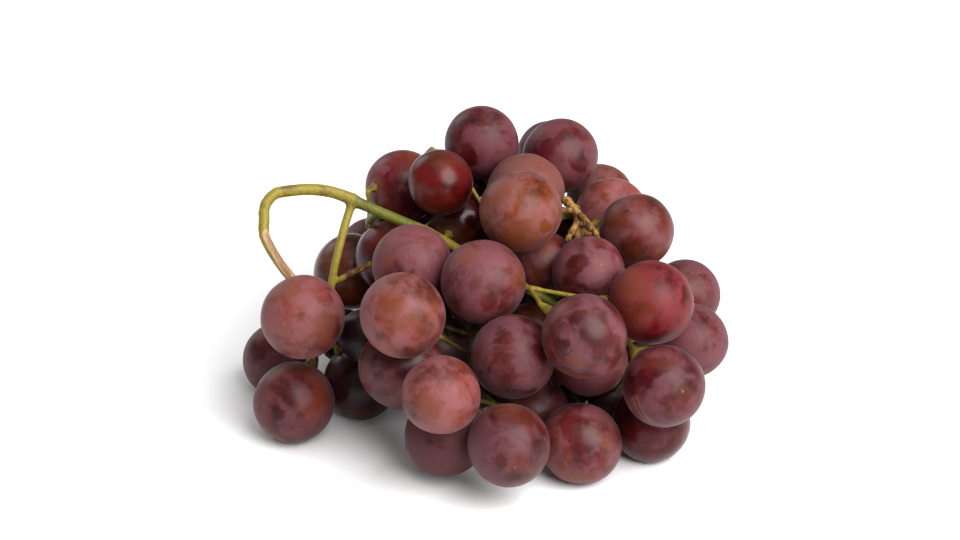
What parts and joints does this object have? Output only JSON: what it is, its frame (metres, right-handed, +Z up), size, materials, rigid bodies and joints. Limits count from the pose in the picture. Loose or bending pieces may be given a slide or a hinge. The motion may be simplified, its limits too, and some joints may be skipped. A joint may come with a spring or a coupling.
{
  "type": "bunch of grapes",
  "caption": "Bunch of ripe red table grapes lying on its side, round berries crowded on one branching green stem with a hooked stalk.",
  "frame": {"origin": "bottom centre of the bunch's box, on the surface that it lies on", "axes": "+Z up from the surface; +X from the hooked stalk towards the tip of the bunch; -Y towards the front, from which the bunch is seen"},
  "size_m": [0.1542, 0.1548, 0.0838],
  "materials": {
    "skin_dusky": "waxy purple-brown grape skin under a thin pale bloom",
    "skin_rose": "waxy rose-brown grape skin, mottled, with a thin bloom",
    "skin_plum": "glossy plum grape skin with a partly wiped bloom",
    "skin_amber": "satin amber and olive grape skin with fine dots",
    "skin_crimson": "glossy deep red grape skin",
    "skin_dark": "dark slate-purple grape skin under a thin bloom",
    "stem": "green to tan stalk, fibrous, with brown scars"
  },
  "bodies": {
    "root": {"axis_berry_1": "skin_dusky", "axis_berry_2": "skin_dark", "axis_berry_3": "skin_dark", "axis_berry_4": "skin_plum", "axis_berry_5": "skin_plum", "breast_berry_1": "skin_rose", "breast_berry_2": "skin_dusky", "breast_berry_3": "skin_rose", "breast_berry_4": "skin_dark", "breast_berry_5": "skin_dusky", "breast_berry_6": "skin_dusky", "breast_berry_7": "skin_dusky", "breast_berry_8": "skin_dark", "crown_berry_1": "skin_crimson", "crown_berry_10": "skin_plum", "crown_berry_11": "skin_dark", "crown_berry_12": "skin_plum", "crown_berry_13": "skin_dark", "crown_berry_2": "skin_plum", "crown_berry_3": "skin_plum", "crown_berry_4": "skin_plum", "crown_berry_5": "skin_amber", "crown_berry_6": "skin_amber", "crown_berry_7": "skin_dusky", "crown_berry_8": "skin_plum", "crown_berry_9": "skin_dusky", "fork_berry_1": "skin_dusky", "fork_berry_2": "skin_crimson", "fork_berry_3": "skin_dusky", "heart_berry_1": "skin_amber", "heart_berry_2": "skin_dusky", "heart_berry_3": "skin_dusky", "heart_berry_4": "skin_rose", "heart_berry_5": "skin_rose", "heart_berry_6": "skin_dusky", "heart_berry_7": "skin_plum", "heart_berry_8": "skin_dusky", "rear_berry_1": "skin_amber", "rear_berry_2": "skin_plum", "rear_berry_3": "skin_plum", "rear_berry_4": "skin_plum", "rear_berry_5": "skin_dark", "rear_berry_6": "skin_dusky", "rear_berry_7": "skin_plum", "rear_berry_8": "skin_dusky", "rear_berry_9": "skin_plum", "shoulder_berry_1": "skin_rose", "shoulder_berry_2": "skin_dark", "shoulder_berry_3": "skin_dark", "shoulder_berry_4": "skin_dark", "shoulder_berry_5": "skin_dark", "stem": "stem", "tail_berry_1": "skin_dark", "tail_berry_2": "skin_dusky", "tail_berry_3": "skin_dusky", "tail_berry_4": "skin_plum", "tail_berry_5": "skin_plum", "tail_berry_6": "skin_dark", "tail_berry_7": "skin_dusky", "tail_berry_8": "skin_plum"}
  },
  "joints": []
}
